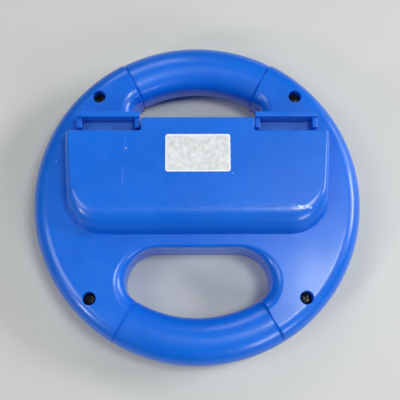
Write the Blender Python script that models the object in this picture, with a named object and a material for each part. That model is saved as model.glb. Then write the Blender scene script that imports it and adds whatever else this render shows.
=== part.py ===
"""Steering-wheel shell for a small slide-rail game controller, lying on its front face.

Row frame: metres, +Z up. The origin is the wheel's axis on the surface it lies on. The wheel's back
looks up along +Z, +Y points at its upper handle and +X to the right, as seen from behind.
"""

from math import atan2, cos, pi, radians, sin, sqrt

import bmesh
import bpy
from mathutils import Vector

MM = 0.001

# Wheel and shells
WHEEL_RADIUS = 60 * MM
RIM_INNER_RADIUS = 43.2 * MM
WALL = 2 * MM
PARTING_Z = 12 * MM
FACE_Z = 19 * MM
BOX_Z = 27.5 * MM
REAR_EDGE_RADIUS = 6 * MM
FRONT_EDGE_RADIUS = 6.5 * MM
GAP = 0.3 * MM
RING_STEPS = 64
FILLET_STEPS = 3
FILLET_END = radians(78)
SHARP_ANGLE = radians(32)
TINY = 0.01 * MM

# How far a cutter runs past what it cuts, and a joined piece into what it joins
PAST = 3 * MM
INTO = 1 * MM

# Hand holes: half widths, straight edges and corner radii
UPPER_HOLE_HALF_WIDTH = 24.3 * MM
UPPER_HOLE_FLOOR_Y = 27 * MM
UPPER_HOLE_CORNER = 5 * MM
LOWER_HOLE_HALF_WIDTH = 26.2 * MM
LOWER_HOLE_TOP_Y = -18.5 * MM
LOWER_HOLE_TOP_CORNER = 12 * MM
RIM_FLARE = 5 * MM
END_FLARE = 4.3 * MM
UPPER_FLOOR_FLARE = 0.4 * MM
UPPER_FLOOR_FRONT_FLARE = 1.2 * MM
UPPER_END_RISE = 3.2 * MM
LOWER_TOP_FLARE = 1.2 * MM
LOWER_TOP_PILLAR_FLARE = 0.5 * MM

# Raised box on the back
BOX_HALF_WIDTH = 48.2 * MM
BOX_BOTTOM_Y = -13.8 * MM
BOX_CORNER = 14 * MM
NOTCH_Y = 22.4 * MM
NOTCH_X = 20.4 * MM
BOX_SMALL_EDGE = 0.5 * MM
BOX_SIDE_SLOPE = 2.6 * MM
BOX_LOW_SLOPE = 4 * MM
BOX_BOTTOM_SLOPE = 8.5 * MM

# Controller tray: inner pocket for a 102 x 35.9 x 13.9 mm controller
BAY_HALF_LENGTH = 51.1 * MM
BAY_TOP_Y = 22.5 * MM
BAY_BOTTOM_Y = -14.2 * MM
BAY_TOP_CORNER = 1.7 * MM
BAY_BOTTOM_CORNER = 15 * MM
TRAY_WALL = 1 * MM
TRAY_MOUTH_Z = 0.5 * MM
TRAY_FLOOR_Z = 14.2 * MM
TRAY_BACK_Z = 15.4 * MM
SKIRT = 1.6 * MM
SKIRT_END_Z = 9 * MM
FLANGE = 1.3 * MM
FLANGE_Z = (9.3 * MM, 10.5 * MM)
WELL_HALF_LENGTH = 41.8 * MM
WELL_TOP_Y = 18.4 * MM
WELL_BOTTOM_Y = -5.3 * MM
WELL_CORNER = 7 * MM
WELL_TOP_CORNER = 1.5 * MM
WELL_FLOOR_Z = 23.9 * MM
WELL_WALL = 1.2 * MM

# Shoulder triggers
TRAVEL = 1.5 * MM
CAP_X = (20.9 * MM, 43.7 * MM)
CAP_Y = (NOTCH_Y + TRAVEL + GAP, 29.7 * MM)
CAP_PAD_Y = 27.7 * MM
CAP_Z = (FACE_Z + 0.4 * MM, 26.9 * MM)
CAP_FLOOR_Z = FACE_Z + 1.6 * MM
CAP_RIB_Z = 24.9 * MM
CAP_RIB = 1.9 * MM
STEM_X = (27.5 * MM, 40.8 * MM)
STEM_Y = (25.3 * MM, 28 * MM)
SLOT_X = (27 * MM, 41.3 * MM)
SLOT_Y = (23.3 * MM, 28.3 * MM)
ARM_PLATE_X = (26.9 * MM, 43.2 * MM)
ARM_PLATE_Y = (STEM_Y[0], 30.6 * MM)
ARM_PLATE_Z = (15 * MM, 16.6 * MM)
INNER_LEG_X = (27 * MM, 33.5 * MM)
LEG_ROOM = 0.5 * MM
LEG_GAP_X = (INNER_LEG_X[0] - LEG_ROOM, INNER_LEG_X[1] + LEG_ROOM)
OUTER_LEG_X = (38.9 * MM, 43.2 * MM)
OUTER_LEG_Z = 10.8 * MM
NOSE_X = (28 * MM, 32 * MM)
NOSE_Y = 22.8 * MM
NOSE_Z = (5.7 * MM, 8.7 * MM)
NOSE_ROOM = 0.6 * MM

# Springs behind the triggers
SPRING_X = {"inner": 30.2 * MM, "outer": 41.05 * MM}
SPRING_Z = 12.9 * MM
SPRING_Y = (23.7 * MM, 26.75 * MM)
SPRING_RADIUS = 1.1 * MM
SPRING_WIRE = 0.34 * MM
SPRING_TURNS = 4
SPRING_POCKET_RADIUS = 1.55 * MM
SPRING_POCKET_Y = 27 * MM

# Fasteners
CASE_SCREWS = {
    "upper_left": (-36.6 * MM, 38.5 * MM),
    "upper_right": (36.6 * MM, 38.5 * MM),
    "lower_left": (-38.3 * MM, -36.7 * MM),
    "lower_right": (38.3 * MM, -36.7 * MM),
}
REAR_BOSS_RADIUS = 3.8 * MM
FRONT_BOSS_RADIUS = 3.3 * MM
COUNTERBORE_RADIUS = 2.3 * MM
HEAD_SEAT_Z = 14 * MM
CLEARANCE_HOLE_RADIUS = 1.5 * MM
PILOT_RADIUS = 1.4 * MM
PILOT_END_Z = 4 * MM
TRIGGER_SCREW = (36.6 * MM, 26.65 * MM)
CAP_PILOT_RADIUS = 0.9 * MM
CAP_PILOT_END_Z = FACE_Z + 0.2 * MM
ARM_HOLE_RADIUS = 1 * MM

# A screw's head radius, head height, shank radius and shank length
CASE_SCREW_SIZES = (2.1 * MM, 1.7 * MM, 1.1 * MM, 9 * MM)
TRIGGER_SCREW_SIZES = (1.4 * MM, 1 * MM, 0.6 * MM, 3.8 * MM)

# Grooves that mark the two handles, as angles from the Y axis
UPPER_GROOVE_ANGLE = radians(28)
LOWER_GROOVE_ANGLE = radians(30.5)
GROOVE_WIDTH = 0.8 * MM
GROOVE_DEPTH = 0.5 * MM

LABEL_SIZE = (23.1 * MM, 13.8 * MM)
LABEL_CENTRE = (0.1 * MM, 13.9 * MM)
LABEL_CORNER = 0.9 * MM
LABEL_THICKNESS = 0.15 * MM
SKIN_GAP = 0.1 * MM
PAD_X = (13 * MM, 31 * MM)
PAD_Z = (3 * MM, 11 * MM)
PAD_THICKNESS = 0.5 * MM

BLUE_PLASTIC = ("blue_plastic", (0.012, 0.13, 0.75), 0.32, 0.0)
DARK_PLASTIC = ("dark_plastic", (0.03, 0.032, 0.036), 0.5, 0.0)
SCREW_STEEL = ("screw_steel", (0.1, 0.1, 0.11), 0.3, 1.0)
SPRING_STEEL = ("spring_steel", (0.55, 0.55, 0.57), 0.25, 1.0)
SOFT_RUBBER = ("soft_rubber", (0.06, 0.06, 0.065), 0.8, 0.0)
LABEL_PAPER = ("label_paper", (0.8, 0.81, 0.83), 0.7, 0.0)


def clear_scene():
    for obj in list(bpy.data.objects):
        bpy.data.objects.remove(obj)


def material(spec):
    name, colour, roughness, metallic = spec
    if name in bpy.data.materials:
        return bpy.data.materials[name]
    made = bpy.data.materials.new(name)
    made.use_nodes = True
    shader = made.node_tree.nodes["Principled BSDF"]
    shader.inputs["Base Color"].default_value = (*colour, 1)
    shader.inputs["Roughness"].default_value = roughness
    shader.inputs["Metallic"].default_value = metallic
    return made


# ---------------------------------------------------------------- outlines
# An outline is a counter-clockwise list of (point, width): width is the horizontal size of the
# rounding along the edge that starts at that point.


def arc(centre, radius, start, end, steps, widths):
    """Points from angle start up to, not including, angle end, with the width going between widths."""
    made = []
    for i in range(steps):
        share = i / steps
        angle = start + (end - start) * share
        point = Vector((centre[0] + radius * cos(angle), centre[1] + radius * sin(angle)))
        made.append((point, widths[0] + (widths[1] - widths[0]) * share))
    return made


def upper_hole(grow=0.0, rim=RIM_FLARE, end=END_FLARE, floor=UPPER_FLOOR_FLARE):
    """The finger gap under the upper handle, grown outwards by grow."""
    half = UPPER_HOLE_HALF_WIDTH + grow
    corner = UPPER_HOLE_CORNER + grow
    centre_x = UPPER_HOLE_HALF_WIDTH - UPPER_HOLE_CORNER
    centre_y = sqrt((RIM_INNER_RADIUS - UPPER_HOLE_CORNER) ** 2 - centre_x**2)
    turn = atan2(centre_y, centre_x)
    rim_radius = RIM_INNER_RADIUS + grow
    end_low_y = UPPER_HOLE_FLOOR_Y + UPPER_END_RISE
    outline = [
        (Vector((-half, UPPER_HOLE_FLOOR_Y - grow)), floor),
        (Vector((half, UPPER_HOLE_FLOOR_Y - grow)), floor),
        (Vector((half, end_low_y)), end),
    ]
    outline += arc((centre_x, centre_y), corner, 0, turn, 4, (end, rim))
    outline += arc((0, 0), rim_radius, turn, pi - turn, 12, (rim, rim))
    outline += arc((-centre_x, centre_y), corner, pi - turn, pi, 4, (rim, end))
    outline += [
        (Vector((-half, centre_y)), end),
        (Vector((-half, end_low_y)), floor),
    ]
    return outline


def lower_hole(grow=0.0, rim=RIM_FLARE, end=END_FLARE, top=LOWER_TOP_FLARE):
    """The finger gap over the lower handle, grown outwards by grow."""
    top_corner = LOWER_HOLE_TOP_CORNER
    side_y = LOWER_HOLE_TOP_Y - top_corner
    half = LOWER_HOLE_HALF_WIDTH
    low_corner = (RIM_INNER_RADIUS**2 - half**2 - side_y**2) / (2 * (RIM_INNER_RADIUS - half))
    low_x = half - low_corner
    turn = atan2(-side_y, low_x)
    rim_radius = RIM_INNER_RADIUS + grow
    outline = arc((half - top_corner, side_y), top_corner + grow, 0, pi / 2, 7, (end, top))
    outline.append((Vector((half - top_corner, LOWER_HOLE_TOP_Y + grow)), top))
    outline += arc((top_corner - half, side_y), top_corner + grow, pi / 2, pi, 7, (top, end))
    outline += arc((-low_x, side_y), low_corner + grow, pi, pi + turn, 4, (end, rim))
    outline += arc((0, 0), rim_radius, pi + turn, 2 * pi - turn, 12, (rim, rim))
    outline += arc((low_x, side_y), low_corner + grow, 2 * pi - turn, 2 * pi, 4, (rim, end))
    return outline


def box_outline(inset=0.0):
    """The foot of the raised box, with its two trigger notches, drawn inwards by inset."""
    half = BOX_HALF_WIDTH - inset
    corner = BOX_CORNER - inset
    centre_x = BOX_HALF_WIDTH - BOX_CORNER
    centre_y = BOX_BOTTOM_Y + BOX_CORNER
    notch_y = NOTCH_Y - inset
    notch_x = NOTCH_X - inset
    # The hand hole's cutter trims the box's top, so the outer box starts a little beyond it.
    top_y = UPPER_HOLE_FLOOR_Y + INTO
    if inset:
        top_y = UPPER_HOLE_FLOOR_Y - inset - UPPER_FLOOR_FLARE / 2
    side = max(BOX_SIDE_SLOPE - inset, BOX_SMALL_EDGE)
    low = max(BOX_LOW_SLOPE - inset, BOX_SMALL_EDGE)
    bottom = BOX_BOTTOM_SLOPE - inset
    outline = [(Vector((-half, notch_y)), side)]
    outline += [(Vector((-half, notch_y + (centre_y - notch_y) / 2)), (side + low) / 2)]
    outline += arc((-centre_x, centre_y), corner, pi, 1.5 * pi, 6, (low, bottom))
    outline.append((Vector((-centre_x, centre_y - corner)), bottom))
    outline += arc((centre_x, centre_y), corner, 1.5 * pi, 2 * pi, 6, (bottom, low))
    outline += [
        (Vector((half, centre_y)), low),
        (Vector((half, notch_y + (centre_y - notch_y) / 2)), side),
        (Vector((half, notch_y)), BOX_SMALL_EDGE),
        (Vector((notch_x, notch_y)), BOX_SMALL_EDGE),
        (Vector((notch_x, top_y)), BOX_SMALL_EDGE),
        (Vector((-notch_x, top_y)), BOX_SMALL_EDGE),
        (Vector((-notch_x, notch_y)), BOX_SMALL_EDGE),
    ]
    return outline


def rounded_bay(half, bottom_y, top_y, bottom_corner, top_corner):
    """A rectangle with its own radius on the bottom and on the top corners."""
    flat = (0.0, 0.0)
    low_x, low_y = half - bottom_corner, bottom_y + bottom_corner
    high_x, high_y = half - top_corner, top_y - top_corner
    outline = arc((low_x, low_y), bottom_corner, 1.5 * pi, 2 * pi, 6, flat)
    outline.append((Vector((half, low_y)), 0.0))
    outline += arc((high_x, high_y), top_corner, 0, pi / 2, 4, flat)
    outline.append((Vector((high_x, top_y)), 0.0))
    outline += arc((-high_x, high_y), top_corner, pi / 2, pi, 4, flat)
    outline.append((Vector((-half, high_y)), 0.0))
    outline += arc((-low_x, low_y), bottom_corner, pi, 1.5 * pi, 6, flat)
    outline.append((Vector((-low_x, bottom_y)), 0.0))
    return outline


def bay_outline(grow=0.0):
    return rounded_bay(
        BAY_HALF_LENGTH + grow,
        BAY_BOTTOM_Y - grow,
        BAY_TOP_Y + grow,
        BAY_BOTTOM_CORNER + grow,
        BAY_TOP_CORNER + grow,
    )


def well_outline(grow=0.0):
    return rounded_bay(
        WELL_HALF_LENGTH + grow,
        WELL_BOTTOM_Y - grow,
        WELL_TOP_Y + grow,
        WELL_CORNER + grow,
        WELL_TOP_CORNER + grow,
    )


# ---------------------------------------------------------------- solids


def add_object(name, mesh, spec, helper=False):
    obj = bpy.data.objects.new(name, mesh)
    bpy.context.scene.collection.objects.link(obj)
    if helper:
        obj.hide_render = True
        obj.display_type = "WIRE"
    else:
        mesh.materials.append(material(spec))
    return obj


def loft(name, rings, spec=None, closed_loop=False):
    """One closed body through rings of equal length, capped at both ends, or joined end to end."""
    bm = bmesh.new()
    loops = [[bm.verts.new(point) for point in ring] for ring in rings]
    pairs = list(zip(loops, loops[1:]))
    if closed_loop:
        pairs.append((loops[-1], loops[0]))
    for low, high in pairs:
        count = len(low)
        for i in range(count):
            j = (i + 1) % count
            bm.faces.new((low[i], low[j], high[j], high[i]))
    if not closed_loop:
        bm.faces.new(list(reversed(loops[0])))
        bm.faces.new(loops[-1])
    bmesh.ops.recalc_face_normals(bm, faces=bm.faces)
    mesh = bpy.data.meshes.new(name)
    bm.to_mesh(mesh)
    bm.free()
    mesh.shade_smooth()
    mesh.set_sharp_from_angle(angle=SHARP_ANGLE)
    return add_object(name, mesh, spec, helper=spec is None)


def edge_normals(points):
    """The unit normal of each edge, pointing to its left, which is inwards on these outlines."""
    normals = []
    for i, point in enumerate(points):
        along = (points[(i + 1) % len(points)] - point).normalized()
        normals.append(Vector((-along.y, along.x)))
    return normals


def shifts(outline):
    """For each point, the inward move that brings both its edges in by their widths."""
    points = [point for point, _ in outline]
    widths = [width for _, width in outline]
    normals = edge_normals(points)
    moves = []
    for i in range(len(points)):
        before, after = normals[i - 1], normals[i]
        turn = before.cross(after)
        if abs(turn) < 0.02:
            moves.append((before + after).normalized() * (widths[i - 1] + widths[i]) / 2)
            continue
        x = (widths[i - 1] * after.y - widths[i] * before.y) / turn
        y = (widths[i] * before.x - widths[i - 1] * after.x) / turn
        moves.append(Vector((x, y)))
    return moves


def ring_at(points, z):
    return [Vector((p.x, p.y, z)) for p in points]


def prism(name, outline, low_z, high_z, spec=None):
    points = [point for point, _ in outline]
    return loft(name, [ring_at(points, low_z), ring_at(points, high_z)], spec)


def flared_cutter(name, outline, waist_z, face_z, end_z):
    """A cutter that leaves a rounded edge where it passes through the face at face_z.

    face_z above waist_z rounds an edge that looks up, below it one that looks down.
    """
    points = [point for point, _ in outline]
    widths = [width for _, width in outline]
    moves = shifts(outline)
    up = 1 if face_z > waist_z else -1
    rings = [ring_at(points, waist_z)]
    heights = [max((widths[i - 1] + widths[i]) / 2, MM) for i in range(len(points))]

    def ring(sideways, above):
        return [
            Vector((p.x - move.x * sideways, p.y - move.y * sideways, face_z + up * height * above))
            for p, move, height in zip(points, moves, heights)
        ]

    for i in range(FILLET_STEPS + 1):
        angle = FILLET_END * i / FILLET_STEPS
        rings.append(ring(1 - cos(angle), sin(angle) - 1))
    rings.append(ring(1.0, 1 - sin(FILLET_END)))
    outside = ring(1.0, 0)
    rings.append([Vector((p.x, p.y, end_z)) for p in outside])
    return loft(name, rings if up > 0 else list(reversed(rings)))


def rounded_disc(name, radius, edge_radius, flat_z, face_z, spec=None):
    """A disc with a flat end at flat_z, and at face_z an end whose edge is rounded."""
    up = 1 if face_z > flat_z else -1
    profile = [(radius, flat_z)]
    for i in range(FILLET_STEPS + 2):
        angle = pi / 2 * i / (FILLET_STEPS + 1)
        across = radius - edge_radius + edge_radius * cos(angle)
        profile.append((across, face_z - up * edge_radius * (1 - sin(angle))))
    rings = []
    for across, z in profile:
        circle = [2 * pi * i / RING_STEPS for i in range(RING_STEPS)]
        rings.append([Vector((across * cos(a), across * sin(a), z)) for a in circle])
    return loft(name, rings if up > 0 else list(reversed(rings)), spec)


def cylinder(name, centre, radius, low_z, high_z, spec=None, steps=20):
    circle = [2 * pi * i / steps for i in range(steps)]
    points = [Vector((centre[0] + radius * cos(a), centre[1] + radius * sin(a))) for a in circle]
    return loft(name, [ring_at(points, low_z), ring_at(points, high_z)], spec)


def block(name, side, x_range, y_range, z_range, spec=None):
    """A box between the given limits, with its X limits on the left (-1) or right (+1) side."""
    low_x, high_x = sorted(side * x for x in x_range)
    corners = [(low_x, y_range[0]), (high_x, y_range[0]), (high_x, y_range[1]), (low_x, y_range[1])]
    points = [Vector(corner) for corner in corners]
    return loft(name, [ring_at(points, z_range[0]), ring_at(points, z_range[1])], spec)


def boolean(target, tool, operation):
    modifier = target.modifiers.new(operation.title() + "_" + tool.name, "BOOLEAN")
    modifier.operation = operation
    modifier.object = tool
    modifier.solver = "EXACT"


def cut(target, *tools):
    for tool in tools:
        boolean(target, tool, "DIFFERENCE")


def join(target, *tools):
    for tool in tools:
        boolean(target, tool, "UNION")


# ---------------------------------------------------------------- grooves


def rim_section(grow):
    """The rim's cross-section as (distance from axis, z) points, grown outwards by grow."""
    inner, outer = RIM_INNER_RADIUS, WHEEL_RADIUS
    corners = [
        (outer - FRONT_EDGE_RADIUS, FRONT_EDGE_RADIUS, FRONT_EDGE_RADIUS, -90),
        (outer - REAR_EDGE_RADIUS, FACE_Z - REAR_EDGE_RADIUS, REAR_EDGE_RADIUS, 0),
        (inner + RIM_FLARE, FACE_Z - RIM_FLARE, RIM_FLARE, 90),
        (inner + RIM_FLARE, RIM_FLARE, RIM_FLARE, 180),
    ]
    section = []
    for across, z, radius, start in corners:
        for i in range(4):
            angle = radians(start + 90 * i / 3)
            reach = radius + grow
            section.append((across + reach * cos(angle), z + reach * sin(angle)))
    return section


def groove_cutter(name, angle):
    """A thin ring round the rim's section at an angle from +X, deep by GROOVE_DEPTH."""
    outward = Vector((cos(angle), sin(angle), 0))
    sideways = Vector((-sin(angle), cos(angle), 0)) * GROOVE_WIDTH / 2
    rings = []
    for grow, shift in ((-GROOVE_DEPTH, -1), (MM, -1), (MM, 1), (-GROOVE_DEPTH, 1)):
        section = rim_section(grow)
        rings.append([outward * r + Vector((0, 0, z)) + sideways * shift for r, z in section])
    return loft(name, rings, closed_loop=True)


def groove_cutters():
    angles = {
        "upper_left": pi / 2 + UPPER_GROOVE_ANGLE,
        "upper_right": pi / 2 - UPPER_GROOVE_ANGLE,
        "lower_left": -pi / 2 - LOWER_GROOVE_ANGLE,
        "lower_right": -pi / 2 + LOWER_GROOVE_ANGLE,
    }
    return [groove_cutter("groove_" + place, angle) for place, angle in angles.items()]


# ---------------------------------------------------------------- shells


def rear_cavity():
    """The room inside the rear shell: the rim, round the hand holes, and the raised box."""
    inside = FACE_Z - WALL
    below = PARTING_Z - PAST
    room = rounded_disc(
        "rear_cavity", WHEEL_RADIUS - WALL, REAR_EDGE_RADIUS - WALL, below, inside
    )
    low = below - PAST
    rim, end = RIM_FLARE - WALL, END_FLARE - WALL
    for name, outline in (
        ("rear_upper_pillar", upper_hole(WALL, rim, end)),
        ("rear_lower_pillar", lower_hole(WALL, rim, end, LOWER_TOP_PILLAR_FLARE)),
    ):
        cut(room, flared_cutter(name, outline, low, inside, inside + INTO))
    outline = box_outline(WALL)
    join(room, box_solid("rear_box_room", outline, inside - INTO, BOX_Z - WALL))
    return room


def box_solid(name, outline, foot_z, top_z, spec=None):
    """The raised box: straight from foot_z up to the shell's face, then rounding over to top_z."""
    points = [point for point, _ in outline]
    moves = shifts(outline)
    rings = [ring_at(points, foot_z)]
    height = top_z - FACE_Z
    steps = FILLET_STEPS + 2
    for i in range(steps + 1):
        angle = pi / 2 * i / steps
        z = FACE_Z + height * sin(angle)
        rings.append(ring_at([p + m * (1 - cos(angle)) for p, m in zip(points, moves)], z))
    return loft(name, rings, spec)


def rear_shell(grooves):
    shell = rounded_disc(
        "rear_shell", WHEEL_RADIUS, REAR_EDGE_RADIUS, PARTING_Z + GAP / 2, FACE_Z, BLUE_PLASTIC
    )
    join(shell, box_solid("rear_box", box_outline(), FACE_Z - INTO, BOX_Z))
    low, high = PARTING_Z - PAST, BOX_Z + PAST
    cut(shell, flared_cutter("rear_upper_hole", upper_hole(), low, FACE_Z, high))
    cut(shell, flared_cutter("rear_lower_hole", lower_hole(), low, FACE_Z, high))
    cut(shell, rear_cavity())
    for place, centre in CASE_SCREWS.items():
        foot = PARTING_Z + GAP
        join(shell, cylinder("rear_boss_" + place, centre, REAR_BOSS_RADIUS, foot, FACE_Z - INTO))
        seat = cylinder("counterbore_" + place, centre, COUNTERBORE_RADIUS, HEAD_SEAT_Z, high)
        hole = cylinder("screw_hole_" + place, centre, CLEARANCE_HOLE_RADIUS, low, HEAD_SEAT_Z + INTO)
        cut(shell, seat, hole)
    for side, word in ((-1, "left"), (1, "right")):
        z_range = (FACE_Z - WALL - INTO, FACE_Z + INTO)
        cut(shell, block(word + "_trigger_slot", side, SLOT_X, SLOT_Y, z_range))
    cut(shell, *grooves)
    return shell


def front_shell(grooves):
    top = PARTING_Z - GAP / 2
    shell = rounded_disc("front_shell", WHEEL_RADIUS, FRONT_EDGE_RADIUS, top, 0, BLUE_PLASTIC)
    above, below = PARTING_Z + PAST, -PAST
    rim, end = RIM_FLARE - WALL, END_FLARE - WALL
    holes = {
        "front_upper": (upper_hole(floor=UPPER_FLOOR_FRONT_FLARE), upper_hole(WALL, rim, end)),
        "front_lower": (lower_hole(), lower_hole(WALL, rim, end, LOWER_TOP_PILLAR_FLARE)),
    }
    room = rounded_disc(
        "front_cavity", WHEEL_RADIUS - WALL, FRONT_EDGE_RADIUS - WALL, PARTING_Z + INTO, WALL
    )
    for name, (hole, pillar) in holes.items():
        cut(shell, flared_cutter(name + "_hole", hole, above, 0, below))
        cut(room, flared_cutter(name + "_pillar", pillar, above, WALL, WALL - INTO))
    cut(shell, room)
    inset = WALL / 2
    guide = rounded_disc("front_guide", WHEEL_RADIUS - inset, FRONT_EDGE_RADIUS - inset, top, inset)
    skirt = prism("bay_skirt", bay_outline(TRAY_WALL + GAP + SKIRT), 0, SKIRT_END_Z)
    boolean(skirt, guide, "INTERSECT")
    join(shell, skirt)
    cut(shell, prism("bay_opening", bay_outline(TRAY_WALL + GAP), below, above))
    for place, centre in CASE_SCREWS.items():
        join(shell, cylinder("front_boss_" + place, centre, FRONT_BOSS_RADIUS, inset, top - GAP))
        cut(shell, cylinder("pilot_" + place, centre, PILOT_RADIUS, PILOT_END_Z, above))
    for side, word in ((-1, "left"), (1, "right")):
        y_range = (BAY_TOP_Y, STEM_Y[1] + LEG_ROOM)
        cut(shell, block(word + "_leg_gap", side, LEG_GAP_X, y_range, (NOSE_Z[0] - INTO, above)))
    cut(shell, *grooves)
    return shell


def controller_tray():
    """The pocket that holds the controller, with a deeper well for its rear triggers."""
    tray = prism("controller_tray", bay_outline(TRAY_WALL), TRAY_MOUTH_Z, TRAY_BACK_Z, DARK_PLASTIC)
    join(tray, prism("tray_flange", bay_outline(TRAY_WALL + FLANGE), *FLANGE_Z))
    well_back = WELL_FLOOR_Z + WELL_WALL
    join(tray, prism("tray_well", well_outline(WELL_WALL), TRAY_FLOOR_Z, well_back))
    cut(tray, prism("tray_pocket", bay_outline(), TRAY_MOUTH_Z - MM, TRAY_FLOOR_Z))
    cut(tray, prism("tray_well_room", well_outline(), TRAY_FLOOR_Z - MM, WELL_FLOOR_Z))
    for side, word in ((-1, "left"), (1, "right")):
        slot_x = (NOSE_X[0] - NOSE_ROOM, NOSE_X[1] + NOSE_ROOM)
        slot_y = (BAY_TOP_Y - INTO, BAY_TOP_Y + PAST)
        slot_z = (NOSE_Z[0] - NOSE_ROOM, NOSE_Z[1] + NOSE_ROOM)
        cut(tray, block(word + "_nose_slot", side, slot_x, slot_y, slot_z))
        notch_y = (BAY_TOP_Y + TRAY_WALL + TINY, BAY_TOP_Y + TRAY_WALL + PAST)
        notch_z = (FLANGE_Z[0] - INTO, FLANGE_Z[1] + INTO)
        cut(tray, block(word + "_flange_notch", side, LEG_GAP_X, notch_y, notch_z))
    return tray


# ---------------------------------------------------------------- triggers


def on_press_axis(obj, side):
    """Puts a moving piece's origin on its trigger's line of travel, leaving its shape in place."""
    origin = Vector((side * (CAP_X[0] + CAP_X[1]) / 2, CAP_PAD_Y, FACE_Z))
    for vertex in obj.data.vertices:
        vertex.co -= origin
    obj.location = origin
    return obj


def trigger_cap(side, word):
    """The part a finger presses: a tray open to the back, with a tall pad and a stem."""
    name = word + "_trigger_cap"
    cap = block(name, side, CAP_X, CAP_Y, (CAP_Z[0], CAP_RIB_Z), BLUE_PLASTIC)
    pad = block(word + "_cap_pad", side, CAP_X, (CAP_PAD_Y, CAP_Y[1]), (CAP_Z[0] + INTO, CAP_Z[1]))
    stem = block(word + "_cap_stem", side, STEM_X, STEM_Y, (ARM_PLATE_Z[1] + GAP, CAP_FLOOR_Z))
    join(cap, pad, stem)
    hollow_x = (CAP_X[0] + CAP_RIB, CAP_X[1] - CAP_RIB)
    hollow_y = (CAP_Y[0] - INTO, CAP_PAD_Y)
    cut(cap, block(word + "_cap_hollow", side, hollow_x, hollow_y, (CAP_FLOOR_Z, CAP_Z[1] + INTO)))
    centre = (side * TRIGGER_SCREW[0], TRIGGER_SCREW[1])
    pilot_z = (ARM_PLATE_Z[0], CAP_PILOT_END_Z)
    cut(cap, cylinder(word + "_cap_pilot", centre, CAP_PILOT_RADIUS, *pilot_z, steps=12))
    return on_press_axis(cap, side)


def spring_pocket(side, word, place):
    """A blind round pocket along Y in the arm's leg."""
    centre_x, z = side * SPRING_X[place], SPRING_Z
    rings = []
    for y in (STEM_Y[0] - INTO, SPRING_POCKET_Y):
        ring = []
        for i in range(12):
            angle = 2 * pi * i / 12
            x = centre_x + SPRING_POCKET_RADIUS * cos(angle)
            ring.append(Vector((x, y, z + SPRING_POCKET_RADIUS * sin(angle))))
        rings.append(ring)
    return loft(f"{word}_{place}_pocket", rings)


def trigger_arm(side, word):
    """The inner arm screwed under the cap: it keeps the cap in, takes the springs and has the nose."""
    name = word + "_trigger_arm"
    arm = block(name, side, ARM_PLATE_X, ARM_PLATE_Y, ARM_PLATE_Z, DARK_PLASTIC)
    top = ARM_PLATE_Z[0] + INTO / 2
    inner = block(word + "_inner_leg", side, INNER_LEG_X, STEM_Y, (NOSE_Z[0], top))
    outer = block(word + "_outer_leg", side, OUTER_LEG_X, STEM_Y, (OUTER_LEG_Z, top))
    nose = block(word + "_nose", side, NOSE_X, (NOSE_Y, STEM_Y[0] + INTO), NOSE_Z)
    join(arm, inner, outer, nose)
    cut(arm, *(spring_pocket(side, word, place) for place in SPRING_X))
    centre = (side * TRIGGER_SCREW[0], TRIGGER_SCREW[1])
    low, high = ARM_PLATE_Z[0] - INTO, ARM_PLATE_Z[1] + INTO
    cut(arm, cylinder(word + "_arm_hole", centre, ARM_HOLE_RADIUS, low, high, steps=12))
    return on_press_axis(arm, side)


def helix_points(side, place):
    """Points along the spring's wire, a steady helix about a line along Y."""
    points = []
    per_turn = 8
    count = SPRING_TURNS * per_turn
    low, high = SPRING_Y[0] + SPRING_WIRE / 2, SPRING_Y[1] - SPRING_WIRE / 2
    for i in range(count + 1):
        angle = 2 * pi * i / per_turn
        y = low + (high - low) * i / count
        x = side * SPRING_X[place] + SPRING_RADIUS * cos(angle)
        points.append((x, y, SPRING_Z + SPRING_RADIUS * sin(angle)))
    return points


def trigger_spring(side, word, place):
    curve = bpy.data.curves.new(f"{word}_trigger_spring_{place}", "CURVE")
    curve.dimensions = "3D"
    curve.bevel_depth = SPRING_WIRE / 2
    curve.bevel_resolution = 1
    curve.use_fill_caps = True
    spline = curve.splines.new("POLY")
    points = helix_points(side, place)
    spline.points.add(len(points) - 1)
    for target, point in zip(spline.points, points):
        target.co = (*point, 1)
    return add_object(curve.name, curve, SPRING_STEEL)


# ---------------------------------------------------------------- fasteners and trim


def screw(name, centre, head_z, up, sizes, spec=SCREW_STEEL):
    """A pan-head screw with a cross recess. up is +1 when its head looks up."""
    head_radius, head_height, shank_radius, length = sizes
    profile = [
        (0.25 * shank_radius, -length),
        (shank_radius, -length + 1.5 * shank_radius),
        (shank_radius, 0.0),
        (head_radius, 0.0),
        (head_radius, 0.55 * head_height),
        (0.75 * head_radius, 0.9 * head_height),
        (0.4 * head_radius, head_height),
    ]
    rings = []
    for radius, height in profile:
        angles = [2 * pi * i / 12 * up for i in range(12)]
        ring = [(centre[0] + radius * cos(a), centre[1] + radius * sin(a)) for a in angles]
        rings.append([Vector((x, y, head_z + up * height)) for x, y in ring])
    body = loft(name, rings, spec)
    reach, half = 0.62 * head_radius, 0.13 * head_radius
    depth = (head_z + up * 0.45 * head_height, head_z + up * 2 * head_height)
    for word, (across, along) in {"a": (reach, half), "b": (half, reach)}.items():
        x_range = (centre[0] - across, centre[0] + across)
        y_range = (centre[1] - along, centre[1] + along)
        cut(body, block(f"{name}_recess_{word}", 1, x_range, y_range, sorted(depth)))
    return body


def screws():
    for place, centre in CASE_SCREWS.items():
        screw("case_screw_" + place, centre, HEAD_SEAT_Z + GAP, 1, CASE_SCREW_SIZES)
    for side, word in ((-1, "left"), (1, "right")):
        centre = (side * TRIGGER_SCREW[0], TRIGGER_SCREW[1])
        head_z = ARM_PLATE_Z[0] - GAP
        screw(word + "_trigger_screw", centre, head_z, -1, TRIGGER_SCREW_SIZES)


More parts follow.
